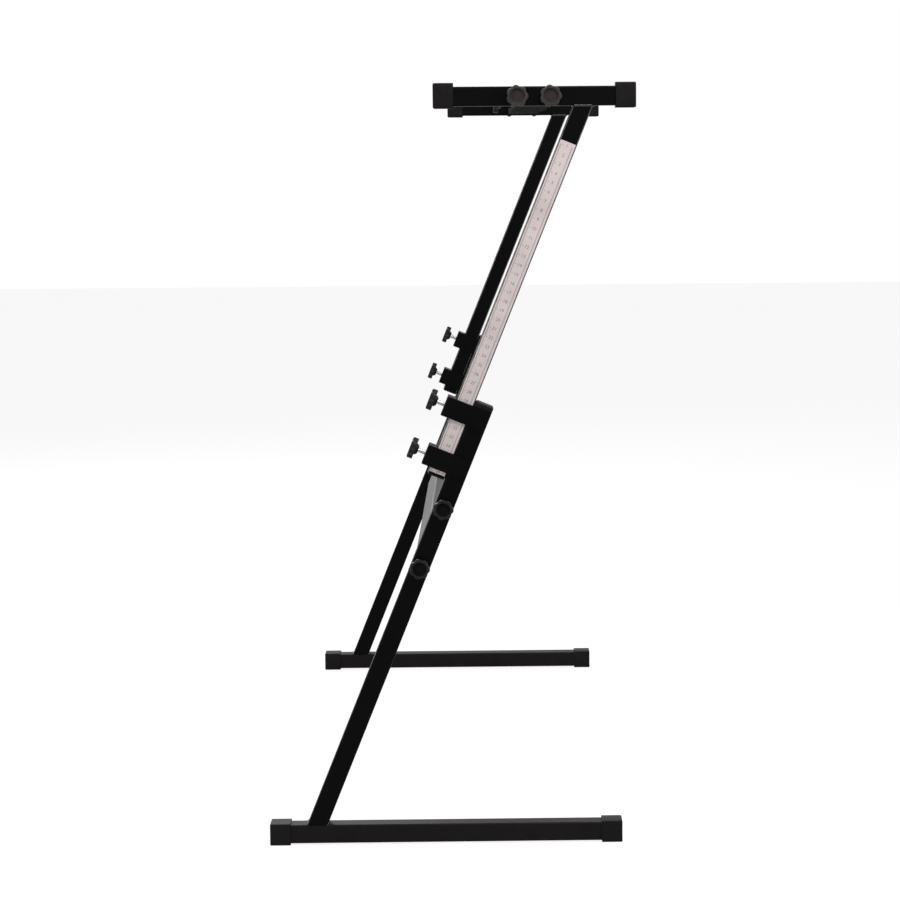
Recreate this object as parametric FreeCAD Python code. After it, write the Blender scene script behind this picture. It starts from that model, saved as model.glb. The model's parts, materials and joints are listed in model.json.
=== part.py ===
import FreeCAD, Part
import math
import os

# Folding keyboard stand with two side frames, a clamped height slide on each side and two
# telescoping crossbars.  Frame: X across the width (the player's left is -X), Y back, Z up,
# origin on the floor at the middle of the stand's bounding box.  Millimetres.

# ---- tubes ----------------------------------------------------------------------------------
TUBE = 25.0             # square tube of feet, legs and arms
TUBE_WALL = 1.5
TUBE_CORNER = 2.5
MAST = 24.0             # square tube of the sliding masts
LEAN = 22.1             # legs and masts lean forward by this many degrees

# ---- width ----------------------------------------------------------------------------------
INNER_GAP = 1041.0      # between the inner faces of the two legs, stand drawn out
BAR_WIDE = 50.0         # crossbar outer tube, wide and narrow sides
BAR_NARROW = 25.0
BAR_FIT = 0.4           # clearance round the inner crossbar tube
OUTER_LENGTH = 600.0    # outer crossbar tube, from its flange to its free end
OVERLAP = 130.0         # inner tube left inside the outer tube when drawn out
FLANGE = 6.0            # thickness of the flange plates on the ends of the crossbars
BUSH_RIM = 3.0          # plastic bush on the free end of the outer tube
BUSH_EDGE = 1.2
LOWER_MARGIN = 13.0     # flange plate past its outermost hole, lower and upper crossbar
UPPER_MARGIN = 8.5

# ---- side frame -----------------------------------------------------------------------------
FOOT_LENGTH = 466.0     # over the caps
LEG_FROM_BACK = 63.0    # back end of the foot to the leg's axis, on top of the foot
LEG_LENGTH = 594.0      # along the axis, from the top of the foot
PLUG_HEAD = 7.0         # plug in the top of a leg
PLUG_EDGE = 2.0
PLUG_STEM = 14.0
PLUG_WALL = 2.5
TAIL_PLUG_HEAD = 2.0    # plug in the lower end of a mast
FOOT_CAP = 27.0         # length of a foot cap
FOOT_CAP_WALL = 2.0
CAP_END = 3.0           # end wall of every cap
CAP_EDGE = 1.2          # chamfer round the outside of a cap
ARM_LENGTH = 260.0      # over the caps
ARM_UNDERSIDE = 967.0   # height of the arm's underside, as photographed
ARM_FROM_FRONT = 68.0   # front end of the arm to the mast's axis, under the arm
ARM_CAP = 26.0
ARM_CAP_TOP = 4.8
ARM_CAP_BOTTOM = 2.7
ARM_CAP_SIDE = 2.3

# ---- collars that guide the masts -----------------------------------------------------------
COLLAR = 26.5           # length along the leg
COLLAR_DROP = 13.5      # top of the leg to the upper collar's centre
COLLAR_STEP = 68.0      # between the two collars' centres
COLLAR_PLATE = 2.0
COLLAR_BLOCK = 11.4     # depth of the threaded block behind the mast
COLLAR_EDGE = 1.5       # chamfer on the block's back edges
SLIDE_GAP = 0.3         # mast to leg, and mast to block
MAST_TAIL = 8.0         # mast below the low collar
STRIP = 0.2             # thickness of the scale strip
STRIP_WIDE = 20.8
STRIP_DROP = 50.0       # underside of the arm to the top of the strip
STRIP_TAIL = 3.0        # strip's end above the mast's lower end

# ---- knobs ----------------------------------------------------------------------------------
KNOB_D = 28.5           # clamp, arm and width knobs
LEG_KNOB_D = 27.0
KNOB_THICK = 7.5
KNOB_LOBES = 7
LOBE_DEPTH = 1.7        # valley between two lobes, below their crests
DISH_D = 17.5           # recess in the face of a knob
DISH = 1.3
HUB_D = 15.0            # hub under the head, at the head and at its tip
HUB_TIP_D = 10.0
HUB = 4.0
STUD_R = 3.0
STUD_SIDES = 16         # a stud is drawn with this many narrow flats, its thread left out
STUD_RUN = 0.1          # stud in a threaded hole, radial
STUD_CLEAR = 0.5        # stud in a plain hole, radial
SEAT = 0.3              # hub to the face it bears on
CLAMP_SHANK = 10.0      # bare stud between block and hub
LEG_KNOB_DROP = 140.0   # top of the leg to the upper leg knob
LEG_KNOB_STEP = 84.0    # between the two leg knobs
ARM_KNOB_FRONT = 109.0  # from the arm's front end
ARM_KNOB_BACK = 152.0
LOCK_FROM_END = 24.0    # width lock, from the free end of the outer tube
LOCK_NUT_D = 15.0       # hexagonal nut welded over the lock's hole, across its corners
LOCK_NUT = 5.0

# ---- places worked out from the sizes above --------------------------------------------------
OUTER_X = -(INNER_GAP / 2 + TUBE)                 # outer face of the left leg
INNER_X = -INNER_GAP / 2                          # inner face of the left leg
MID_X = OUTER_X + TUBE / 2
FOOT_TOP = FOOT_CAP_WALL + TUBE
SIN = math.sin(math.radians(LEAN))
COS = math.cos(math.radians(LEAN))
COLLAR_HIGH = LEG_LENGTH - COLLAR_DROP            # these four along the leg, from the foot's top
COLLAR_LOW = COLLAR_HIGH - COLLAR_STEP
LEG_KNOB_HIGH = LEG_LENGTH - LEG_KNOB_DROP
LEG_KNOB_LOW = LEG_KNOB_HIGH - LEG_KNOB_STEP
MAST_V = TUBE / 2 + SLIDE_GAP + MAST / 2          # mast's axis behind the leg's axis
MAST_TOP = (ARM_UNDERSIDE - FOOT_TOP - SIN * MAST_V) / COS
MAST_BOTTOM = COLLAR_LOW - COLLAR / 2 - MAST_TAIL
BLOCK_V = MAST_V + MAST / 2 + SLIDE_GAP           # inner face of the collar's block
FRONT_ARM = -MAST_TOP * SIN + MAST_V * COS - ARM_FROM_FRONT    # from the leg's foot
FOOT_BACK = LEG_FROM_BACK
FOOT_FRONT = LEG_FROM_BACK - FOOT_LENGTH
LEG_Y = -(min(FRONT_ARM, FOOT_FRONT) + FOOT_BACK) / 2          # centres the stand on Y
ARM_FRONT = LEG_Y + FRONT_ARM
BAR_S = (LEG_KNOB_LOW + LEG_KNOB_HIGH) / 2
BAR_Y = ARM_FRONT + (ARM_KNOB_FRONT + ARM_KNOB_BACK) / 2
ARM_MID_Z = ARM_UNDERSIDE + TUBE / 2

X = FreeCAD.Vector(1, 0, 0)
Y = FreeCAD.Vector(0, 1, 0)
Z = FreeCAD.Vector(0, 0, 1)


def box(x0, x1, y0, y1, z0, z1):
    return Part.makeBox(x1 - x0, y1 - y0, z1 - z0, FreeCAD.Vector(x0, y0, z0))


def rounded(wide, deep, radius):
    """A rounded rectangle on the XY plane, centred on the origin."""
    a, b = wide / 2, deep / 2
    k = radius * (1 - math.sqrt(0.5))
    corners = [(a, b, 1, 1), (-a, b, -1, 1), (-a, -b, -1, -1), (a, -b, 1, -1)]
    edges = []
    last = None
    for i, (cx, cy, sx, sy) in enumerate(corners):
        along_x = FreeCAD.Vector(cx - sx * radius, cy, 0)
        along_y = FreeCAD.Vector(cx, cy - sy * radius, 0)
        start, end = (along_y, along_x) if i % 2 == 0 else (along_x, along_y)
        middle = FreeCAD.Vector(cx - sx * k, cy - sy * k, 0)
        if last is not None:
            edges.append(Part.makeLine(last, start))
        edges.append(Part.Arc(start, middle, end).toShape())
        last = end
        first = start if i == 0 else first
    edges.append(Part.makeLine(last, first))
    return Part.Wire(edges)


def bar(wide, deep, radius, z0, z1):
    face = Part.Face(rounded(wide, deep, radius))
    face.translate(FreeCAD.Vector(0, 0, z0))
    return face.extrude(FreeCAD.Vector(0, 0, z1 - z0))


def block(wide, deep, z0, z1):
    return box(-wide / 2, wide / 2, -deep / 2, deep / 2, z0, z1)


def tube(wide, deep, z0, z1, wall=TUBE_WALL, corner=TUBE_CORNER):
    """A hollow tube along Z, open at both ends."""
    inside = block(wide - 2 * wall, deep - 2 * wall, z0 - 1, z1 + 1)
    return bar(wide, deep, corner, z0, z1).cut(inside)


def eased(shape, size, keep):
    """A shape with every edge chamfered that doesn't lie in the plane z = keep."""
    edges = [e for e in shape.Edges
             if abs(e.BoundBox.ZMin - keep) > 0.01 or abs(e.BoundBox.ZMax - keep) > 0.01]
    return shape.makeChamfer(size, edges)


def rod(radius, length, base, axis):
    return Part.makeCylinder(radius, length, base, axis)


def put(shape, base, turn):
    """A copy of the shape, turned about the origin and then moved to base."""
    placed = shape.copy()
    placed.Placement = FreeCAD.Placement(base, turn).multiply(shape.Placement)
    return placed


def on_leg(shape):
    """Local x across from the leg's axis, y behind the leg, z along it from the foot's top."""
    return put(shape, FreeCAD.Vector(MID_X, LEG_Y, FOOT_TOP), FreeCAD.Rotation(X, LEAN))


def lying(shape, x, y, z):
    """A shape drawn along Z laid down along Y, its local y up."""
    return put(shape, FreeCAD.Vector(x, y, z), FreeCAD.Rotation(X, 90))


def across(shape, x, y, z, lean):
    """A shape drawn along Z laid along X, its local x up along the leg (or upright)."""
    turn = FreeCAD.Rotation(X, lean).multiply(FreeCAD.Rotation(Y, 90))
    return put(shape, FreeCAD.Vector(x, y, z), turn)


def mirrored(shape):
    return shape.mirror(FreeCAD.Vector(0, 0, 0), X)


def leg_point(s, v, x=0.0):
    """A point x across, s along and v behind the left leg, in the stand's frame."""
    return FreeCAD.Vector(MID_X + x, LEG_Y - s * SIN + v * COS, FOOT_TOP + s * COS + v * SIN)


# ---- one side frame, drawn for the left ------------------------------------------------------
def foot_tube():
    return lying(tube(TUBE, TUBE, CAP_END, FOOT_LENGTH - CAP_END),
                 MID_X, LEG_Y + FOOT_BACK, FOOT_CAP_WALL + TUBE / 2)


def cap_pair(wide, tall, rise, depth, length):
    """The caps of both ends of a tube along Z, one drawn and the other its mirror image."""
    outside = eased(block(wide, tall, 0, depth), CAP_EDGE, depth)
    outside.translate(FreeCAD.Vector(0, rise, 0))
    cap = outside.cut(block(TUBE, TUBE, CAP_END, depth + 1))
    other = cap.mirror(FreeCAD.Vector(0, 0, length / 2), Z)
    return Part.makeCompound([cap, other])


def foot_caps():
    outside = TUBE + 2 * FOOT_CAP_WALL
    return lying(cap_pair(outside, outside, 0, FOOT_CAP, FOOT_LENGTH),
                 MID_X, LEG_Y + FOOT_BACK, FOOT_CAP_WALL + TUBE / 2)


def leg_tube():
    leg = on_leg(tube(TUBE, TUBE, -TUBE, LEG_LENGTH))
    leg = leg.cut(box(MID_X - TUBE, MID_X + TUBE, LEG_Y - TUBE * 3, LEG_Y + TUBE * 3,
                      FOOT_TOP - TUBE * 3, FOOT_TOP))
    for s in (LEG_KNOB_LOW, LEG_KNOB_HIGH):
        leg = leg.cut(rod(STUD_R + STUD_CLEAR, TUBE * 2, leg_point(s, 0, -TUBE), X))
    return leg


def plug(wide, head, inner, stem):
    """A hollow-stemmed plug along Z, its head from z = 0 up and its stem below."""
    cap = eased(block(wide, wide, 0, head), min(PLUG_EDGE, head * 0.6), 0)
    pocket = block(inner - 2 * PLUG_WALL, inner - 2 * PLUG_WALL, -stem - 1, -PLUG_WALL)
    return cap.fuse(block(inner, inner, -stem, 0).cut(pocket))


def leg_plug():
    stopper = plug(TUBE, PLUG_HEAD, TUBE - 2 * TUBE_WALL, PLUG_STEM)
    stopper.translate(FreeCAD.Vector(0, 0, LEG_LENGTH))
    return on_leg(stopper)


def collar(s):
    """Two side plates welded to the leg and a threaded block behind the mast."""
    x0 = -TUBE / 2 - COLLAR_PLATE
    x1 = TUBE / 2 + COLLAR_PLATE
    z0, z1 = s - COLLAR / 2, s + COLLAR / 2
    back = BLOCK_V + COLLAR_BLOCK
    front = -TUBE / 2 + TUBE_CORNER
    ring = box(x0, x1, front, back, z0, z1)
    ring = ring.cut(box(-TUBE / 2, TUBE / 2, front - 1, BLOCK_V, z0 - 1, z1 + 1))
    edges = [e for e in ring.Edges
             if e.BoundBox.YMin > back - 0.01 and e.BoundBox.ZLength > COLLAR / 2]
    ring = ring.makeChamfer(COLLAR_EDGE, edges)
    hole = rod(STUD_R + STUD_RUN, COLLAR_BLOCK + 2, FreeCAD.Vector(0, BLOCK_V - 1, s), Y)
    return on_leg(ring.cut(hole))


def mast_tube():
    mast = tube(MAST, MAST, MAST_BOTTOM, MAST_TOP + TUBE)
    mast.translate(FreeCAD.Vector(0, MAST_V, 0))
    mast = on_leg(mast)
    return mast.cut(box(MID_X - TUBE, MID_X + TUBE, ARM_FRONT - TUBE * 2,
                        ARM_FRONT + ARM_LENGTH, ARM_UNDERSIDE, ARM_UNDERSIDE + TUBE * 3))


def mast_plug():
    stopper = plug(MAST - 1, TAIL_PLUG_HEAD, MAST - 2 * TUBE_WALL, PLUG_STEM)
    stopper = put(stopper, FreeCAD.Vector(0, MAST_V, MAST_BOTTOM), FreeCAD.Rotation(X, 180))
    return on_leg(stopper)


def scale_strip():
    top = MAST_TOP - STRIP_DROP
    return on_leg(box(-MAST / 2 - STRIP, -MAST / 2, MAST_V - STRIP_WIDE / 2,
                      MAST_V + STRIP_WIDE / 2, MAST_BOTTOM + STRIP_TAIL, top))


def arm_tube():
    arm = lying(tube(TUBE, TUBE, CAP_END, ARM_LENGTH - CAP_END),
                MID_X, ARM_FRONT + ARM_LENGTH, ARM_MID_Z)
    for along in (ARM_KNOB_FRONT, ARM_KNOB_BACK):
        base = FreeCAD.Vector(MID_X - TUBE, ARM_FRONT + along, ARM_MID_Z)
        arm = arm.cut(rod(STUD_R + STUD_CLEAR, TUBE * 2, base, X))
    return arm


def arm_caps():
    wide = TUBE + 2 * ARM_CAP_SIDE
    tall = TUBE + ARM_CAP_TOP + ARM_CAP_BOTTOM
    rise = (ARM_CAP_TOP - ARM_CAP_BOTTOM) / 2
    return lying(cap_pair(wide, tall, rise, ARM_CAP, ARM_LENGTH),
                 MID_X, ARM_FRONT + ARM_LENGTH, ARM_MID_Z)


# ---- knobs -----------------------------------------------------------------------------------
def ring_of(radii, z):
    """A closed outline of evenly spaced points at the given radii, round the Z axis."""
    points = []
    for i, radius in enumerate(radii):
        turn = 2 * math.pi * i / len(radii)
        points.append(FreeCAD.Vector(radius * math.cos(turn), radius * math.sin(turn), z))
    return Part.makePolygon(points + points[:1])


def prism(radii, z0, z1):
    return Part.Face(ring_of(radii, z0)).extrude(FreeCAD.Vector(0, 0, z1 - z0))


def knob_head(diameter):
    """A lobed head along +Z with a dished face, on a tapered hub whose tip is at the origin."""
    crest, valley = diameter / 2, diameter / 2 - LOBE_DEPTH
    top = HUB + KNOB_THICK
    sides = 2 * KNOB_LOBES
    head = prism([crest, crest, crest, valley, valley] * KNOB_LOBES, HUB, top)
    dish = prism([DISH_D / 2] * sides, top - DISH, top + 1)
    hub = prism([HUB_D / 2] * sides, 0, HUB)
    tip = [e for e in hub.Edges if e.BoundBox.ZMax < 0.01]
    hub = hub.makeChamfer((HUB_D - HUB_TIP_D) / 2, tip)
    return head.cut(dish).fuse(hub).removeSplitter()


def stud(reach):
    """A threaded stud that leaves the tip of the hub and reaches this far before it."""
    return prism([STUD_R] * STUD_SIDES, -reach, 0)


def aimed(shape, base, axis):
    return put(shape, base, FreeCAD.Rotation(Z, axis))


def export(name, shape):
    shape.exportStep("parts/" + name + ".step")


os.makedirs("parts", exist_ok=True)

BEHIND = FreeCAD.Vector(0, COS, SIN)        # away from the back of a leaning tube
ALONG = FreeCAD.Vector(0, -SIN, COS)        # up along a leaning tube
knob_pairs = []
for name, s in (("upper", COLLAR_HIGH), ("lower", COLLAR_LOW)):
    face = BLOCK_V + COLLAR_BLOCK
    base = leg_point(s, face + CLAMP_SHANK)
    reach = CLAMP_SHANK + COLLAR_BLOCK + SLIDE_GAP - STUD_RUN
    knob_pairs.append((name + "_clamp", KNOB_D, base, BEHIND, reach))
for name, s in (("upper", LEG_KNOB_HIGH), ("lower", LEG_KNOB_LOW)):
    base = leg_point(s, 0, -TUBE / 2 - SEAT)
    knob_pairs.append((name + "_leg", LEG_KNOB_D, base, X * -1, SEAT + TUBE + FLANGE + 2))
for name, along in (("front", ARM_KNOB_FRONT), ("back", ARM_KNOB_BACK)):
    base = FreeCAD.Vector(OUTER_X - SEAT, ARM_FRONT + along, ARM_MID_Z)
    knob_pairs.append((name + "_arm", KNOB_D, base, X * -1, SEAT + TUBE + FLANGE - 0.5))

frame_pieces = {
    "foot": foot_tube(), "foot_caps": foot_caps(), "leg": leg_tube(), "leg_plug": leg_plug(),
    "upper_collar": collar(COLLAR_HIGH), "lower_collar": collar(COLLAR_LOW),
    "mast": mast_tube(), "mast_plug": mast_plug(), "scale_strip": scale_strip(),
    "arm": arm_tube(), "arm_caps": arm_caps()}
for name, diameter, base, axis, reach in knob_pairs:
    frame_pieces[name + "_knob"] = aimed(knob_head(diameter), base, axis)
    frame_pieces[name + "_stud"] = aimed(stud(reach), base, axis)
for name, shape in frame_pieces.items():
    export("left_" + name, shape)
    export("right_" + name, mirrored(shape))

# ---- crossbars: outer tube on the left, inner tube on the right -------------------------------
IN_WIDE = BAR_WIDE - 2 * TUBE_WALL - 2 * BAR_FIT
IN_NARROW = BAR_NARROW - 2 * TUBE_WALL - 2 * BAR_FIT
LEFT_END = INNER_X + FLANGE
INNER_LENGTH = INNER_GAP - 2 * FLANGE - OUTER_LENGTH + OVERLAP
LOCK_X = LEFT_END + OUTER_LENGTH - LOCK_FROM_END


def flange(half_span, margin, lean, y, z):
    """A length of flat bar with two threaded holes, across the end of a crossbar."""
    plate = block(2 * (half_span + margin), TUBE, 0, FLANGE)
    for h in (-half_span, half_span):
        plate = plate.cut(rod(STUD_R + STUD_RUN, FLANGE + 2, FreeCAD.Vector(h, 0, -1), Z))
    return across(plate, INNER_X, y, z, lean)


def crossbar(name, y, z, lean, half_span, margin, lock_axis):
    """Outer tube, inner tube, end bush, two flanges and the width lock of one crossbar."""
    outer = across(tube(BAR_WIDE, BAR_NARROW, 0, OUTER_LENGTH), LEFT_END, y, z, lean)
    inner = across(tube(IN_WIDE, IN_NARROW, 0, INNER_LENGTH),
                   -LEFT_END - INNER_LENGTH, y, z, lean)
    rim = eased(block(BAR_WIDE, BAR_NARROW, 0, BUSH_RIM), BUSH_EDGE, 0)
    rim = rim.cut(block(BAR_WIDE - 2 * TUBE_WALL, BAR_NARROW - 2 * TUBE_WALL, -1, BUSH_RIM + 1))
    bush = across(rim, LEFT_END + OUTER_LENGTH, y, z, lean)
    seat = FreeCAD.Vector(LOCK_X, y, z) + lock_axis * (BAR_WIDE / 2)
    outer = outer.fuse(aimed(prism([LOCK_NUT_D / 2] * 6, 0, LOCK_NUT), seat, lock_axis))
    bottom = TUBE_WALL + BAR_FIT / 2
    outer = outer.cut(rod(STUD_R + STUD_RUN, LOCK_NUT + bottom + 1, seat - lock_axis * bottom,
                          lock_axis))
    export(name + "_crossbar_outer", outer)
    export(name + "_crossbar_inner", inner)
    export(name + "_crossbar_bush", bush)
    left = flange(half_span, margin, lean, y, z)
    export(name + "_left_flange", left)
    export(name + "_right_flange", mirrored(left))
    base = seat + lock_axis * (LOCK_NUT + CLAMP_SHANK)
    reach = CLAMP_SHANK + LOCK_NUT + TUBE_WALL + BAR_FIT - STUD_RUN
    export(name + "_width_knob", aimed(knob_head(KNOB_D), base, lock_axis))
    export(name + "_width_stud", aimed(stud(reach), base, lock_axis))


low = leg_point(BAR_S, 0)
crossbar("lower", low.y, low.z, LEAN, (LEG_KNOB_HIGH - LEG_KNOB_LOW) / 2, LOWER_MARGIN, ALONG)
crossbar("upper", BAR_Y, ARM_MID_Z, 90.0, (ARM_KNOB_BACK - ARM_KNOB_FRONT) / 2, UPPER_MARGIN, Y)
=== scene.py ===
import json
import math
import bmesh
import bpy
from mathutils import Matrix, Vector


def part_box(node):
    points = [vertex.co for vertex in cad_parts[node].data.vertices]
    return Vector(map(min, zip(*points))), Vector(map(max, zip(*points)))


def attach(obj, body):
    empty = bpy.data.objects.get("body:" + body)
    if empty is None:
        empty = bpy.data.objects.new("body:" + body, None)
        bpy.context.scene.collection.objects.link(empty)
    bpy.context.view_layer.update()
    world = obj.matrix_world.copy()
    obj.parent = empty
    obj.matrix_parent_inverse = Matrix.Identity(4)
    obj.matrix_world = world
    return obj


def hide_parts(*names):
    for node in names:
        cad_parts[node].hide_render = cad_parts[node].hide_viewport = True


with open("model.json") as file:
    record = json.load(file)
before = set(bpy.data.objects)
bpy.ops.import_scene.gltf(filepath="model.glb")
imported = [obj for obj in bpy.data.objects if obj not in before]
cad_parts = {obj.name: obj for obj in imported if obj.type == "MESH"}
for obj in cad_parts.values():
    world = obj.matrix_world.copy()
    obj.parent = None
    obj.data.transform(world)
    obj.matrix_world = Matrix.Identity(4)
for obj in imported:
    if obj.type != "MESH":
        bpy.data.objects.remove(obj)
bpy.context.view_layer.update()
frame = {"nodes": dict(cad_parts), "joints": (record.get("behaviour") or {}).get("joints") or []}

# ---- The side frames and crossbars ------------------------------------------------------------
# Square steel tube with a rolled corner, mitred, welded and then sprayed in a black enamel with
# a faint ripple.  The feet's enamel is painted a shade lighter, as a painted reflection of the
# floor.  The lower crossbar's is drawn glossier, so that its back is lit, and the upper one's
# duller, so that its underside stays dark.
MM = 0.001


def paint(hex_colour):
    """The linear colour of an sRGB hex value."""
    channels = [int(hex_colour[i:i + 2], 16) / 255 for i in (1, 3, 5)]
    return [c / 12.92 if c <= 0.04045 else ((c + 0.055) / 1.055) ** 2.4 for c in channels] + [1.0]


def add_node(material, kind, settings=None, links=None):
    """One node, with its settings by socket or property and its inputs' sources.

    A socket goes by its name, or by its number where several share a name.
    """
    node = material.node_tree.nodes.new(kind)
    for key, value in (settings or {}).items():
        if isinstance(key, int) or key in node.inputs:
            node.inputs[key].default_value = value
        else:
            setattr(node, key, value)
    for socket, source in (links or {}).items():
        material.node_tree.links.new(source, node.inputs[socket])
    return node


def new_material(name):
    """A material with an empty surface shader and the object's own coordinates."""
    material = bpy.data.materials.new(name)
    material.use_nodes = True
    surface = material.node_tree.nodes["Principled BSDF"]
    place = add_node(material, "ShaderNodeTexCoord").outputs["Object"]
    return material, surface, place


def wire(material, source, surface, socket):
    """Joins an output to one input of a node that is already there."""
    material.node_tree.links.new(source, surface.inputs[socket])


def black_enamel(name, smoothest, roughest, shine, dark="#050505", light="#0b0a0a"):
    """Sprayed enamel on steel tube: black, with a faint ripple and some dust."""
    ripple_mm, dust_mm = 2.2, 55.0
    material, surface, place = new_material(name)
    ripple = add_node(material, "ShaderNodeTexNoise",
                      {"Scale": 1 / (ripple_mm * MM), "Detail": 2.0}, {"Vector": place})
    dust = add_node(material, "ShaderNodeTexNoise",
                    {"Scale": 1 / (dust_mm * MM), "Detail": 6.0, "Roughness": 0.62},
                    {"Vector": place})
    tone = add_node(material, "ShaderNodeValToRGB", links={"Fac": dust.outputs["Fac"]})
    tone.color_ramp.elements[0].position = 0.35
    tone.color_ramp.elements[0].color = paint(dark)
    tone.color_ramp.elements[1].position = 0.75
    tone.color_ramp.elements[1].color = paint(light)
    gloss = add_node(material, "ShaderNodeMapRange",
                     {"To Min": smoothest, "To Max": roughest}, {"Value": dust.outputs["Fac"]})
    bump = add_node(material, "ShaderNodeBump", {"Strength": 0.12, "Distance": 0.04 * MM},
                    {"Height": ripple.outputs["Fac"]})
    wire(material, tone.outputs["Color"], surface, "Base Color")
    wire(material, gloss.outputs["Result"], surface, "Roughness")
    wire(material, bump.outputs["Normal"], surface, "Normal")
    surface.inputs["Specular IOR Level"].default_value = shine
    return material


def dress(node, material):
    """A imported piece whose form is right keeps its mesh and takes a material."""
    slots = frame["nodes"][node].data.materials
    slots.clear()
    slots.append(material)


enamel = black_enamel("black_enamel_on_steel", 0.34, 0.46, 0.04)
glossy_enamel = black_enamel("glossy_black_enamel_on_steel", 0.34, 0.46, 0.26)
dull_enamel = black_enamel("dull_black_enamel_on_steel", 0.80, 0.90, 0.02, "#0a0909", "#141212")
# the feet's enamel is painted lighter than the rest's: a painted reflection of the floor close by
foot_enamel_painted_reflection = black_enamel("black_enamel_with_painted_floor_reflection", 0.40, 0.54, 0.09, "#0e0b0c", "#181314")
SIDES = ("left", "right")
for side in SIDES:
    dress(side + "_foot", foot_enamel_painted_reflection)
    for part in ("leg", "upper_collar", "lower_collar", "arm"):
        dress(side + "_" + part, enamel)
for level, coat in (("lower", glossy_enamel), ("upper", dull_enamel)):
    for part in ("crossbar_outer", "crossbar_inner", "left_flange", "right_flange"):
        dress(level + "_" + part, coat)

# ---- Masts -------------------------------------------------------------------------------------
# The masts are the same enamelled tube, a size smaller, and slide in the collars.  All their
# corners carry a painted highlight: a light line of grey metal, broken into patches and drawn
# as if rubbed to the steel.  The photograph shows a light line along one corner, which may only
# be a reflection.
LEAN = math.radians(22.1)
# the width of the painted highlight along each corner
HIGHLIGHT_WIDE = 1.5 * MM


def near_the_edge(material, place, direction, mast):
    """1 near the two faces of the mast that look along the direction, and 0 between them."""
    spread = [vert.co.dot(direction) for vert in mast.data.vertices]
    middle, half = (max(spread) + min(spread)) / 2, (max(spread) - min(spread)) / 2
    across = add_node(material, "ShaderNodeVectorMath",
                      {"operation": "DOT_PRODUCT", 1: direction}, {0: place})
    gap = add_node(material, "ShaderNodeMath", {"operation": "SUBTRACT", 1: middle},
                   {0: across.outputs["Value"]})
    size = add_node(material, "ShaderNodeMath", {"operation": "ABSOLUTE"},
                    {0: gap.outputs["Value"]})
    near = add_node(material, "ShaderNodeMapRange",
                    {"From Min": half - HIGHLIGHT_WIDE, "From Max": half - HIGHLIGHT_WIDE / 3},
                    {"Value": size.outputs["Value"]})
    return near.outputs["Result"]


def enamel_with_painted_highlight(name, mast):
    """The enamel of one mast, with a painted highlight of grey metal along its four long corners.
    """
    patch_mm = 9.0
    material = black_enamel(name, 0.34, 0.46, 0.04)
    surface = material.node_tree.nodes["Principled BSDF"]
    place = material.node_tree.nodes["Texture Coordinate"].outputs["Object"]
    coat = surface.inputs["Base Color"].links[0].from_socket
    behind = Vector((0, math.cos(LEAN), math.sin(LEAN)))
    corner = add_node(material, "ShaderNodeMath", {"operation": "MULTIPLY"},
                      {0: near_the_edge(material, place, Vector((1, 0, 0)), mast),
                       1: near_the_edge(material, place, behind, mast)})
    patches = add_node(material, "ShaderNodeTexNoise",
                       {"Scale": 1 / (patch_mm * MM), "Detail": 4.0}, {"Vector": place})
    broken = add_node(material, "ShaderNodeMapRange",
                      {"From Min": 0.30, "From Max": 0.60, "To Min": 0.30, "To Max": 0.95},
                      {"Value": patches.outputs["Fac"]})
    # the painted highlight: along the corners the colour turns to a light grey metal
    painted_highlight = add_node(material, "ShaderNodeMath", {"operation": "MULTIPLY"},
                   {0: corner.outputs["Value"], 1: broken.outputs["Result"]})
    # a Mix node holds a set of sockets for each type: 6, 7 and output 2 are the colours'
    tone = add_node(material, "ShaderNodeMix", {"data_type": "RGBA", 7: paint("#a5a2a1")},
                    {0: painted_highlight.outputs["Value"], 6: coat})
    wire(material, tone.outputs[2], surface, "Base Color")
    wire(material, painted_highlight.outputs["Value"], surface, "Metallic")
    return material


for side in SIDES:
    mast = frame["nodes"][side + "_mast"]
    dress(side + "_mast", enamel_with_painted_highlight(f"black_enamel_with_painted_highlight_{side}", mast))

# ---- Plastic and rubber caps -------------------------------------------------------------------
# Each tube end wears a moulded cap pushed over it.  The feet have square plastic ones with a fine
# spark-eroded grain, and the arms have thicker, softer rubber ones that stand above the tube.
CAP_WALL = {"foot": 2.0 * MM, "arm": 2.3 * MM}
CAP_EDGE = {"foot": 1.6 * MM, "arm": 2.2 * MM}
CAP_LONG = {"foot": 27 * MM, "arm": 26 * MM}
CAP_BOTTOM = 3.0 * MM


def moulded_plastic(name, dark, light, grain_mm, grain_height_mm, roughness, shine):
    """Injection-moulded plastic or rubber: dark, faintly scuffed, with a grain and a sheen.

    The grain can't be seen in the photograph, so its size is a guess.  It is drawn coarser than
    such a grain usually is, and is still finer than a pixel in the whole view.
    """
    scuff_mm = 18.0
    material, surface, place = new_material(name)
    grain = add_node(material, "ShaderNodeTexNoise",
                     {"Scale": 1 / (grain_mm * MM), "Detail": 3.0}, {"Vector": place})
    scuffs = add_node(material, "ShaderNodeTexNoise",
                      {"Scale": 1 / (scuff_mm * MM), "Detail": 5.0, "Roughness": 0.65},
                      {"Vector": place})
    tone = add_node(material, "ShaderNodeValToRGB", links={"Fac": scuffs.outputs["Fac"]})
    tone.color_ramp.elements[0].position = 0.30
    tone.color_ramp.elements[0].color = paint(dark)
    tone.color_ramp.elements[1].position = 0.80
    tone.color_ramp.elements[1].color = paint(light)
    sheen = add_node(material, "ShaderNodeMapRange",
                     {"To Min": roughness - 0.08, "To Max": roughness + 0.08},
                     {"Value": scuffs.outputs["Fac"]})
    bump = add_node(material, "ShaderNodeBump",
                    {"Strength": 0.35, "Distance": grain_height_mm * MM},
                    {"Height": grain.outputs["Fac"]})
    wire(material, tone.outputs["Color"], surface, "Base Color")
    wire(material, sheen.outputs["Result"], surface, "Roughness")
    wire(material, bump.outputs["Normal"], surface, "Normal")
    surface.inputs["Specular IOR Level"].default_value = shine
    return material


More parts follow.
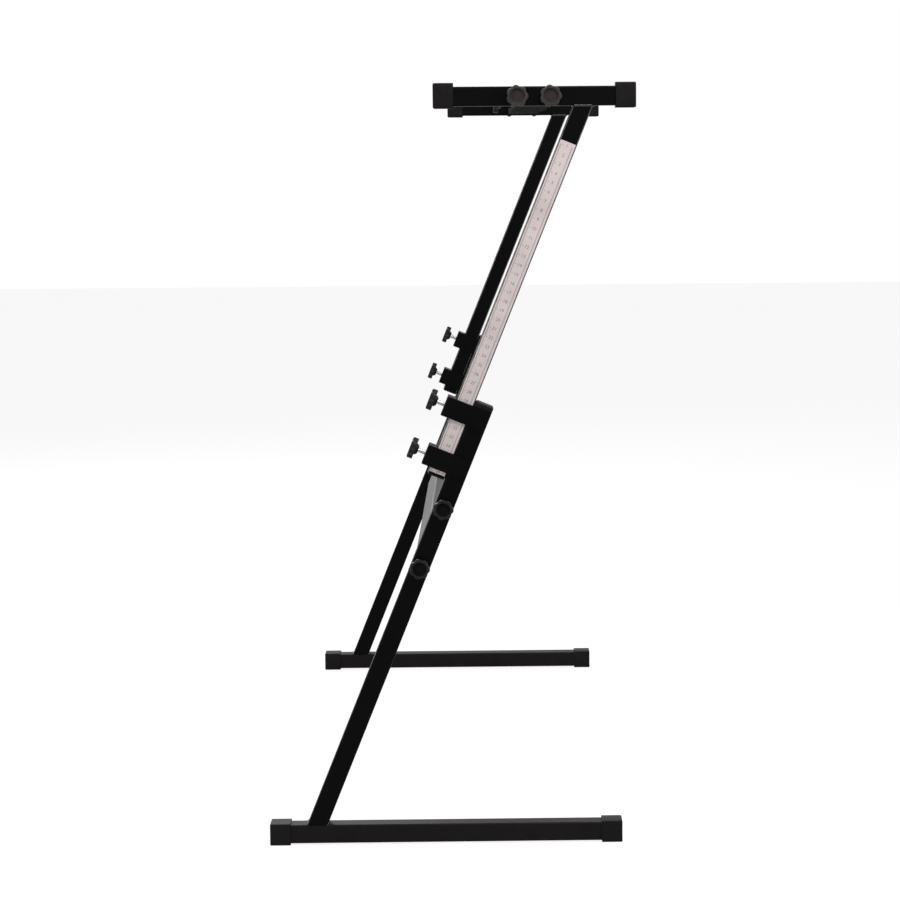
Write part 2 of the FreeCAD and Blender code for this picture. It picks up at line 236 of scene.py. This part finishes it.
def piece(mesh, name, material, body, nodes=(), sharp=35):
    """A finished piece from its bmesh: normals out, softly shaded, on its body."""
    bmesh.ops.remove_doubles(mesh, verts=mesh.verts, dist=0.002 * MM)
    bmesh.ops.recalc_face_normals(mesh, faces=mesh.faces)
    data = bpy.data.meshes.new(name)
    mesh.to_mesh(data)
    mesh.free()
    data.materials.append(material)
    data.shade_smooth()
    data.set_sharp_from_angle(angle=math.radians(sharp))
    thing = bpy.data.objects.new(name, data)
    bpy.context.scene.collection.objects.link(thing)
    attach(thing, body)
    if nodes:
        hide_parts(*nodes)
    return thing


def mouth_faces(mesh, mouth):
    """The flat faces at the open end, towards +Y or -Y as mouth is 1 or -1."""
    mesh.normal_update()
    return [f for f in mesh.faces if f.normal.y * mouth > 0.99]


def cap_form(mesh, low, high, mouth, wall, edge, tube_low, tube_high):
    """A cap in the box from low to high, its pocket as tall as the tube that it is pushed on."""
    made = bmesh.ops.create_cube(mesh, size=1.0)["verts"]
    bmesh.ops.scale(mesh, vec=high - low, verts=made)
    bmesh.ops.translate(mesh, vec=(high + low) / 2, verts=made)
    rim = {e for f in mouth_faces(mesh, mouth) for e in f.edges}
    bmesh.ops.bevel(mesh, geom=[e for e in mesh.edges if e not in rim], offset=edge,
                    affect="EDGES", segments=5, profile=0.5, material=-1, clamp_overlap=True)
    opening = mouth_faces(mesh, mouth)
    bmesh.ops.inset_region(mesh, faces=opening, thickness=wall, use_boundary=True,
                           use_even_offset=True)
    lip = list({v for f in opening for v in f.verts})
    tall = max(v.co.z for v in lip) - min(v.co.z for v in lip)
    middle = Vector((0, 0, (high.z + low.z) / 2))
    bmesh.ops.scale(mesh, vec=(1, 1, (tube_high - tube_low) / tall), verts=lip,
                    space=Matrix.Translation(-middle))
    bmesh.ops.translate(mesh, vec=(0, 0, (tube_high + tube_low) / 2 - middle.z), verts=lip)
    pocket = bmesh.ops.extrude_face_region(mesh, geom=opening)["geom"]
    bmesh.ops.delete(mesh, geom=opening, context="FACES_KEEP_BOUNDARY")
    bmesh.ops.translate(mesh, vec=(0, (high.y - low.y - CAP_BOTTOM) * -mouth, 0),
                        verts=[g for g in pocket if isinstance(g, bmesh.types.BMVert)])


cap_plastic = moulded_plastic("spark_grained_polypropylene", "#121111", "#1b1919", 0.5, 0.05,
                              0.50, 0.08)
cap_rubber = moulded_plastic("moulded_black_rubber", "#141213", "#1f1c1d", 0.7, 0.06, 0.62, 0.06)
CAPS = {"foot": (cap_plastic, "cap_plastic", "base"),
        "arm": (cap_rubber, "cap_rubber", "upright")}
for side in SIDES:
    for tube, (material, slot_name, body) in CAPS.items():
        low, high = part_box(side + "_" + tube + "_caps")
        tube_low, tube_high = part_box(side + "_" + tube)
        for end, near, far, mouth in (("front", low.y, low.y + CAP_LONG[tube], 1),
                                      ("back", high.y - CAP_LONG[tube], high.y, -1)):
            cap = bmesh.new()
            cap_form(cap, Vector((low.x, near, low.z)), Vector((high.x, far, high.z)), mouth,
                     CAP_WALL[tube], CAP_EDGE[tube], tube_low.z, tube_high.z)
            piece(cap, f"{side}_{end}_{tube}_cap", material, side + "_" + body,
                  [side + "_" + tube + "_caps"])

# ---- Plugs and bushes --------------------------------------------------------------------------
# The legs' tops, the masts' lower ends and the crossbars' outer tubes are closed or lined with
# small mouldings of the same grained plastic as the foot caps.
for side in SIDES:
    dress(side + "_leg_plug", cap_plastic)
    dress(side + "_mast_plug", cap_plastic)
for level in ("lower", "upper"):
    dress(level + "_crossbar_bush", cap_plastic)

# ---- Knobs -------------------------------------------------------------------------------------
# Every clamp is worked by a moulded knob with seven lobes, a raised rim round a grained recess
# that is painted darker as shade, and a tapered hub from which a zinc-plated threaded stud
# comes.  Those on the arms are lighter.
KNOB_WIDE = 28.5 * MM
LEG_KNOB_WIDE = 27.0 * MM
HUB_HIGH = 4.0 * MM
HUB_RADIUS = 7.5 * MM
HUB_TIP_RADIUS = 5.0 * MM
HUB_TAPER = 2.5 * MM
KNOB_TOP = 11.5 * MM
KNOB_LOBES = 7
LOBE_DEPTH = 1.7 * MM
FIRST_CREST = 2 * math.pi / 35      # as in the solid, whose outline has 35 points
POINTS_PER_LOBE = 14
DISH_DEEP = 2.4 * MM
DISH_SHARE = 0.60                   # of the knob's width, at the recess's bottom
# the recess's faces are painted darker than the rim, as painted shade
WALL_SHARE = 0.65                   # faces with their middles inside this are the recess's
BUTTON_RADIUS = 4.5 * MM
BUTTON_HIGH = 0.25 * MM


def knob_outline(crest):
    """Heights, radii and the share of the lobes' depth, from the hub out, up and into the dish."""
    bottom = KNOB_TOP - DISH_DEEP
    return [
        # the hub and the underside of the lobed head, with its bevelled edge
        (HUB_TAPER, HUB_RADIUS, 0), (HUB_HIGH, HUB_RADIUS, 0),
        (HUB_HIGH, crest - 0.6 * MM, 1), (HUB_HIGH + 0.5 * MM, crest, 1),
        # the lobes' upper edge, rounded over to the rim
        (KNOB_TOP - 1.2 * MM, crest, 1), (KNOB_TOP - 0.5 * MM, crest - 0.35 * MM, 1),
        (KNOB_TOP - 0.12 * MM, crest - 1.0 * MM, 0.9), (KNOB_TOP, crest - 1.8 * MM, 0.6),
        # the rim's round inner edge and the sloping wall of the recess
        (KNOB_TOP, crest * 0.76, 0), (KNOB_TOP - 0.12 * MM, crest * 0.70, 0),
        (KNOB_TOP - 0.6 * MM, crest * 0.67, 0), (bottom + 0.3 * MM, crest * 0.62, 0),
        # the recess's bottom and the low button in its middle
        (bottom, crest * DISH_SHARE, 0), (bottom, BUTTON_RADIUS + BUTTON_HIGH, 0),
        (bottom + BUTTON_HIGH, BUTTON_RADIUS, 0)]


def knob_form(mesh, crest):
    """The knob along +Z with its hub's tip at the origin, drawn ring by ring from that tip."""
    bmesh.ops.create_circle(mesh, segments=KNOB_LOBES * POINTS_PER_LOBE, radius=HUB_TIP_RADIUS)
    rim = mesh.edges[:]
    bmesh.ops.edgeloop_fill(mesh, edges=rim)
    for height, radius, share in knob_outline(crest):
        grown = bmesh.ops.extrude_edge_only(mesh, edges=rim)["geom"]
        rim = [g for g in grown if isinstance(g, bmesh.types.BMEdge)]
        for vert in (g for g in grown if isinstance(g, bmesh.types.BMVert)):
            turn = math.atan2(vert.co.y, vert.co.x)
            valley = abs(math.sin((turn - FIRST_CREST) * KNOB_LOBES / 2)) ** 3
            reach = radius - LOBE_DEPTH * share * valley
            vert.co = (reach * math.cos(turn), reach * math.sin(turn), height)
    bmesh.ops.edgeloop_fill(mesh, edges=rim)


def aimed_at(place, axis):
    """The matrix that turns +Z to the axis and moves the origin to the place."""
    turn = Vector((0, 0, 1)).rotation_difference(Vector(axis))
    return Matrix.Translation(Vector(place)) @ turn.to_matrix().to_4x4()


# each recess is painted darker than its knob's rim: painted shade in the hollow, under a coarser
# grain
knob_plastic = moulded_plastic("moulded_black_nylon", "#2f2b2a", "#3f3a39", 0.6, 0.05, 0.36, 0.14)
painted_shade_recess = moulded_plastic("grained_nylon_with_painted_recess_shade", "#2a2626", "#383333", 0.8, 0.08, 0.55, 0.08)
dark_knob_plastic = moulded_plastic("moulded_darker_nylon", "#1f1c1c", "#2b2827", 0.6, 0.05,
                                    0.36, 0.09)
dark_painted_shade_recess = moulded_plastic("grained_darker_nylon_with_painted_recess_shade", "#0e0d0d", "#171616", 0.8, 0.08,
                                   0.60, 0.03)
KNOB_JOINTS = [j for j in frame["joints"] if j["name"].endswith("_turn")]
for joint in KNOB_JOINTS:
    name = joint["child"]
    on_arm = name.endswith("_arm")
    crest = (LEG_KNOB_WIDE if name.endswith("_leg") else KNOB_WIDE) / 2
    knob = bmesh.new()
    knob_form(knob, crest)
    # the recess's faces take the second material, with its painted shade
    for face in knob.faces:
        middle = face.calc_center_median()
        above_bottom = middle.z > KNOB_TOP - DISH_DEEP - 0.1 * MM
        if above_bottom and middle.xy.length < crest * WALL_SHARE:
            face.material_index = 1
    knob.transform(aimed_at(joint["pos_m"], joint["axis"]))
    made = piece(knob, name + "_lobed_knob", knob_plastic if on_arm else dark_knob_plastic,
                 name, [name + "_knob"])
    made.data.materials.append(painted_shade_recess if on_arm else dark_painted_shade_recess)

# ---- Studs -------------------------------------------------------------------------------------
# The studs are M6 steel with a rolled thread and bright zinc plating, so each turn of the thread
# catches the light as a thin line.
PITCH = 1.0 * MM
THREAD_RADIUS = 3.0 * MM
THREAD_DEEP = 0.55 * MM
THREAD_SIDES = 24
CREST_FROM, CREST_TO = 0.44, 0.56       # the thread's flat crest, in shares of the pitch
CORE_SHARE = 0.7                        # of the thread's depth, from its crest to the plain core


def zinc_plate():
    """Bright zinc on steel: light grey metal, slightly blue and faintly blotched."""
    blotch_mm = 4.0
    material, surface, place = new_material("bright_zinc_plate")
    blotch = add_node(material, "ShaderNodeTexNoise",
                      {"Scale": 1 / (blotch_mm * MM), "Detail": 4.0}, {"Vector": place})
    tone = add_node(material, "ShaderNodeValToRGB", links={"Fac": blotch.outputs["Fac"]})
    tone.color_ramp.elements[0].color = paint("#a9abad")
    tone.color_ramp.elements[1].color = paint("#cfd0d0")
    rough = add_node(material, "ShaderNodeMapRange", {"To Min": 0.22, "To Max": 0.42},
                     {"Value": blotch.outputs["Fac"]})
    wire(material, tone.outputs["Color"], surface, "Base Color")
    wire(material, rough.outputs["Result"], surface, "Roughness")
    surface.inputs["Metallic"].default_value = 1.0
    return material


def stud_form(mesh, length):
    """A rolled thread from the hub's tip down the -Z axis, round a plain core."""
    profile = [mesh.verts.new((THREAD_RADIUS - THREAD_DEEP, 0, -length)),
               mesh.verts.new((THREAD_RADIUS, 0, -length + PITCH * CREST_FROM)),
               mesh.verts.new((THREAD_RADIUS, 0, -length + PITCH * CREST_TO)),
               mesh.verts.new((THREAD_RADIUS - THREAD_DEEP, 0, -length + PITCH))]
    edges = [mesh.edges.new(pair) for pair in zip(profile, profile[1:])]
    turns = int(length / PITCH) - 1
    bmesh.ops.spin(mesh, geom=profile + edges, cent=(0, 0, 0), axis=(0, 0, 1),
                   dvec=(0, 0, PITCH / THREAD_SIDES), angle=2 * math.pi * turns,
                   steps=THREAD_SIDES * turns, use_merge=False)
    bmesh.ops.remove_doubles(mesh, verts=mesh.verts, dist=0.01 * MM)
    core_radius = THREAD_RADIUS - THREAD_DEEP * CORE_SHARE
    core = bmesh.ops.create_cone(mesh, cap_ends=True, segments=THREAD_SIDES, radius1=core_radius,
                                 radius2=core_radius, depth=length)["verts"]
    bmesh.ops.translate(mesh, vec=(0, 0, -length / 2), verts=core)


zinc = zinc_plate()
for joint in KNOB_JOINTS:
    name = joint["child"]
    tip, axis = Vector(joint["pos_m"]), Vector(joint["axis"])
    reach = max((tip - vert.co).dot(axis)
                for vert in frame["nodes"][name + "_stud"].data.vertices)
    stud = bmesh.new()
    stud_form(stud, reach)
    stud.transform(aimed_at(joint["pos_m"], joint["axis"]))
    piece(stud, name + "_threaded_stud", zinc, name, [name + "_stud"], sharp=25)

# ---- Scale strips ------------------------------------------------------------------------------
# A printed polyester strip is stuck to the outer face of each mast: pale ground, a row of ticks
# down each side and plain numbers that count down from the top.  The photograph shows only a grey
# line where each row is, so the number and width of the ticks are a guess.
NUMBER_PITCH = 12.6 * MM
NUMBER_HIGH = 6.0 * MM
TICKS_PER_NUMBER = 10
TICK_FROM_LEFT = 2.2 * MM
TICK_FROM_RIGHT = 3.3 * MM
TICK_LONG = 1.3 * MM
TICK_WIDE = 0.6 * MM
DASH_PLACE = -5.6 * MM
DASH_LONG = 1.5 * MM
PRINT_THICK = 0.03 * MM
FIRST_NUMBER = 5.5 * MM
STRIP_WIDE = 20.8 * MM


def printed_film(name, dark, light):
    """Printed polyester film: a colour that varies a little along it, under a satin face."""
    patch_mm = 45.0
    material, surface, place = new_material(name)
    patches = add_node(material, "ShaderNodeTexNoise",
                       {"Scale": 1 / (patch_mm * MM), "Detail": 3.0}, {"Vector": place})
    tone = add_node(material, "ShaderNodeValToRGB", links={"Fac": patches.outputs["Fac"]})
    tone.color_ramp.elements[0].position = 0.35
    tone.color_ramp.elements[0].color = paint(dark)
    tone.color_ramp.elements[1].position = 0.70
    tone.color_ramp.elements[1].color = paint(light)
    wire(material, tone.outputs["Color"], surface, "Base Color")
    surface.inputs["Roughness"].default_value = 0.42
    surface.inputs["IOR"].default_value = 1.57
    return material


def number_mesh(text):
    """A number as a thin flat mesh, centred, reading along +X with its top towards +Y."""
    curve = bpy.data.curves.new("number", "FONT")
    curve.body = text
    curve.size = NUMBER_HIGH
    curve.align_x = "CENTER"
    curve.align_y = "CENTER"
    curve.extrude = PRINT_THICK / 2
    curve.resolution_u = 3
    holder = bpy.data.objects.new("number", curve)
    data = bpy.data.meshes.new_from_object(holder)
    bpy.data.objects.remove(holder)
    bpy.data.curves.remove(curve)
    return data


def printed_bar(mesh, across, along, long):
    """A short printed line across the strip."""
    made = bmesh.ops.create_cube(mesh, size=1.0)["verts"]
    bmesh.ops.scale(mesh, vec=(long, TICK_WIDE, PRINT_THICK), verts=made)
    bmesh.ops.translate(mesh, vec=(across, along, PRINT_THICK / 2), verts=made)


film = printed_film("printed_polyester_film", "#c8bcbb", "#d8cccb")
ink = printed_film("grey_printing_ink", "#6a6161", "#7a7170")
for side, outward in (("left", -1), ("right", 1)):
    low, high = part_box(side + "_scale_strip")
    face_x = low.x if outward < 0 else high.x
    length = (high.z - low.z - STRIP_WIDE * math.sin(LEAN)) / math.cos(LEAN)
    middle = (low + high) / 2
    # local X reads to the reader's right, local Y runs up the mast, local Z points outwards
    right = Vector((0, outward * math.cos(LEAN), outward * math.sin(LEAN)))
    up = Vector((0, -math.sin(LEAN), math.cos(LEAN)))
    outwards = Vector((outward, 0, 0))
    place = Matrix((right, up, outwards)).transposed().to_4x4()
    place.translation = Vector((face_x, middle.y, middle.z))
    dress(side + "_scale_strip", film)
    marks = bmesh.new()
    count = int((length - FIRST_NUMBER) / NUMBER_PITCH)
    for k in range(count + 1):
        height = length / 2 - FIRST_NUMBER - k * NUMBER_PITCH
        data = number_mesh(str(k + 1))
        data.transform(Matrix.Translation((0, height, PRINT_THICK / 2)))
        marks.from_mesh(data)
        bpy.data.meshes.remove(data)
        printed_bar(marks, DASH_PLACE, height, DASH_LONG)
        for t in range(TICKS_PER_NUMBER):
            at = height - t * NUMBER_PITCH / TICKS_PER_NUMBER
            if at > TICK_WIDE - length / 2:
                printed_bar(marks, TICK_FROM_LEFT - STRIP_WIDE / 2, at, TICK_LONG)
                printed_bar(marks, STRIP_WIDE / 2 - TICK_FROM_RIGHT, at, TICK_LONG)
    marks.transform(place)
    piece(marks, side + "_scale_print", ink, side + "_upright")

# ---- Weld beads --------------------------------------------------------------------------------
# The leg is welded to the foot before and behind, the mast to the arm all round, and each
# crossbar to its flange plates along its short sides, in hand-laid beads that are painted over.
# The enamel is drawn glossier there, because the photograph shows their ripples glint.
TUBE_SIDE = 25 * MM
MAST_SIDE = 24 * MM
BAR_WIDE = 50 * MM
BAR_NARROW = 25 * MM
INNER_STEP = 1.9 * MM       # the outer tube's wall and the clearance round the inner one
BEAD_RADIUS = 2.0 * MM
BEAD_RIPPLE = 1.7 * MM
BEAD_INSET = 0.6 * MM
RIPPLE_DEPTH = 0.14         # of the bead's radius
BEAD_SIDES = 12
RINGS_PER_RIPPLE = 6


def bead_form(mesh, start, end):
    """A bead of overlapping scales from start to end, its ends rounded down to nothing."""
    start, end = Vector(start), Vector(end)
    length = (end - start).length
    rings = max(8, int(length / BEAD_RIPPLE) * RINGS_PER_RIPPLE)
    made = bmesh.ops.create_grid(mesh, x_segments=rings, y_segments=BEAD_SIDES,
                                 size=0.5)["verts"]
    for vert in made:
        along = (vert.co.x + 0.5) * length
        turn = (vert.co.y + 0.5) * 2 * math.pi
        ends = min(along, length - along) / BEAD_RADIUS
        swell = math.sqrt(max(0.0, 1 - max(0.0, 1 - ends) ** 2))
        ripple = abs(math.sin(math.pi * along / BEAD_RIPPLE))
        radius = BEAD_RADIUS * swell * (1 - RIPPLE_DEPTH + RIPPLE_DEPTH * ripple)
        vert.co = (radius * math.cos(turn), radius * math.sin(turn), along)
    turn = Vector((0, 0, 1)).rotation_difference((end - start).normalized())
    bmesh.ops.transform(mesh, verts=made,
                        matrix=Matrix.Translation(start) @ turn.to_matrix().to_4x4())


bead_enamel = black_enamel("thick_black_enamel_on_welds", 0.24, 0.34, 0.5)
for side in SIDES:
    low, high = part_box(side + "_leg")
    left, right = low.x + BEAD_INSET, high.x - BEAD_INSET
    back = high.y - BEAD_INSET
    front = high.y - TUBE_SIDE / math.cos(LEAN) + BEAD_INSET
    beads = bmesh.new()
    for y in (back, front):
        bead_form(beads, (left, y, low.z), (right, y, low.z))
    piece(beads, side + "_foot_weld", bead_enamel, side + "_base")

    low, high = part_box(side + "_mast")
    left, right = low.x + BEAD_INSET, high.x - BEAD_INSET
    front = low.y + BEAD_INSET
    back = low.y + MAST_SIDE / math.cos(LEAN) - BEAD_INSET
    corners = [(left, front), (right, front), (right, back), (left, back)]
    beads = bmesh.new()
    for start, end in zip(corners, corners[1:] + corners[:1]):
        bead_form(beads, (*start, high.z), (*end, high.z))
    piece(beads, side + "_arm_weld", bead_enamel, side + "_upright")

# the lower crossbar leans with the legs, and the upper one lies flat
for level, lean, frame_part in (("lower", LEAN, "base"), ("upper", math.pi / 2, "upright")):
    for side in SIDES:
        low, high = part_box(level + "_crossbar_inner")
        plate_low, plate_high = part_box(f"{level}_{side}_flange")
        face_x = plate_high.x if side == "left" else plate_low.x
        step = 0 if side == "left" else INNER_STEP
        wide = Vector((0, -math.sin(lean), math.cos(lean))) * (BAR_WIDE / 2 - step)
        narrow = Vector((0, math.cos(lean), math.sin(lean))) * (BAR_NARROW / 2 - step)
        centre = Vector((face_x, (low.y + high.y) / 2, (low.z + high.z) / 2))
        beads = bmesh.new()
        for end in (wide, -wide):
            bead_form(beads, centre + end - narrow, centre + end + narrow)
        piece(beads, f"{level}_{side}_flange_weld", bead_enamel, f"{side}_{frame_part}")

# ---- Camera -----------------------------------------------------------------------------------
# The camera stands to the left of the stand, level with the arms, and looks along its width.
# It has less lens shift than the photograph's own, so that the other views stay in frame.
CAMERA_PLACE = (-3.6362, -0.0561, 0.9205)
CAMERA_YAW = -0.01226
CAMERA_PITCH = -0.11629
CAMERA_ROLL = 0.00749
CAMERA_LENS = 96.0
CAMERA_SHIFT = (-0.08, -0.03)

eye = bpy.data.cameras.new("camera")
eye.lens = CAMERA_LENS
eye.shift_x, eye.shift_y = CAMERA_SHIFT
camera = bpy.data.objects.new("camera", eye)
bpy.context.scene.collection.objects.link(camera)
camera.matrix_world = (Matrix.Translation(CAMERA_PLACE)
                       @ Matrix.Rotation(CAMERA_YAW - math.pi / 2, 4, "Z")
                       @ Matrix.Rotation(CAMERA_PITCH + math.pi / 2, 4, "X")
                       @ Matrix.Rotation(-CAMERA_ROLL, 4, "Z"))
bpy.context.scene.camera = camera

# ---- Studio -----------------------------------------------------------------------------------
# A wide pale floor in a white room, with a soft lamp above the left side, so that tops are
# lighter than sides, a weaker one behind for the edges, and one for the side that the camera
# doesn't see.  The camera and every reflection see the same white.
AMBIENT = 0.27
# each lamp's place, width in metres and watts
LAMPS = {"main_lamp": ((-1.25, -0.55, 2.2), 0.8, 30.0),
         "edge_lamp": ((-1.6, 2.4, 1.6), 0.6, 20.0),
         "right_lamp": ((2.6, 0.9, 2.4), 1.2, 48.0)}
LAMPS_AIM = (0, 0, 0.5)
FLOOR_HALF = 12.0
FLOOR_GLOW = 0.88           # what the camera sees of the floor without any light on it
FLOOR_SHADE = 0.20          # and how much the light, and so the shadow, adds


def ray_that_looks(material):
    """1 for camera, glossy and transmitted rays, which see the white, and 0 for the rest."""
    path = add_node(material, "ShaderNodeLightPath")
    total = path.outputs["Is Camera Ray"]
    for kind in ("Is Glossy Ray", "Is Transmission Ray"):
        either = add_node(material, "ShaderNodeMath", {"operation": "MAXIMUM"},
                          {0: total, 1: path.outputs[kind]})
        total = either.outputs["Value"]
    return total


bpy.context.scene.view_settings.view_transform = "Standard"
world = bpy.data.worlds.new("studio")
bpy.context.scene.world = world
world.use_nodes = True
background = world.node_tree.nodes["Background"]
background.inputs["Color"].default_value = (1, 1, 1, 1)
seen = add_node(world, "ShaderNodeMapRange", {"To Min": AMBIENT, "To Max": 1.0},
                {"Value": ray_that_looks(world)})
wire(world, seen.outputs["Result"], background, "Strength")

for name, (place, width, watts) in LAMPS.items():
    lamp = bpy.data.lights.new(name, "AREA")
    lamp.size = width
    lamp.energy = watts
    holder = bpy.data.objects.new(name, lamp)
    bpy.context.scene.collection.objects.link(holder)
    holder.location = place
    aim = Vector(LAMPS_AIM) - Vector(place)
    holder.rotation_euler = aim.to_track_quat("-Z", "Y").to_euler()

pale = bpy.data.materials.new("pale_floor")
pale.use_nodes = True
pale.node_tree.nodes.remove(pale.node_tree.nodes["Principled BSDF"])
matte = add_node(pale, "ShaderNodeBsdfDiffuse", {"Color": paint("#e6e6e6")})
glow = add_node(pale, "ShaderNodeEmission", {"Strength": FLOOR_GLOW})
faint = add_node(pale, "ShaderNodeBsdfDiffuse", {"Color": [FLOOR_SHADE] * 3 + [1.0]})
white = add_node(pale, "ShaderNodeAddShader",
                 links={0: glow.outputs["Emission"], 1: faint.outputs["BSDF"]})
floor_look = add_node(pale, "ShaderNodeMixShader",
                      links={0: ray_that_looks(pale), 1: matte.outputs["BSDF"],
                             2: white.outputs["Shader"]})
wire(pale, floor_look.outputs["Shader"], pale.node_tree.nodes["Material Output"], "Surface")

mesh = bmesh.new()
bmesh.ops.create_grid(mesh, x_segments=1, y_segments=1, size=FLOOR_HALF)
floor_mesh = bpy.data.meshes.new("floor")
mesh.to_mesh(floor_mesh)
mesh.free()
floor_mesh.materials.append(pale)
floor = bpy.data.objects.new("floor", floor_mesh)
bpy.context.scene.collection.objects.link(floor)
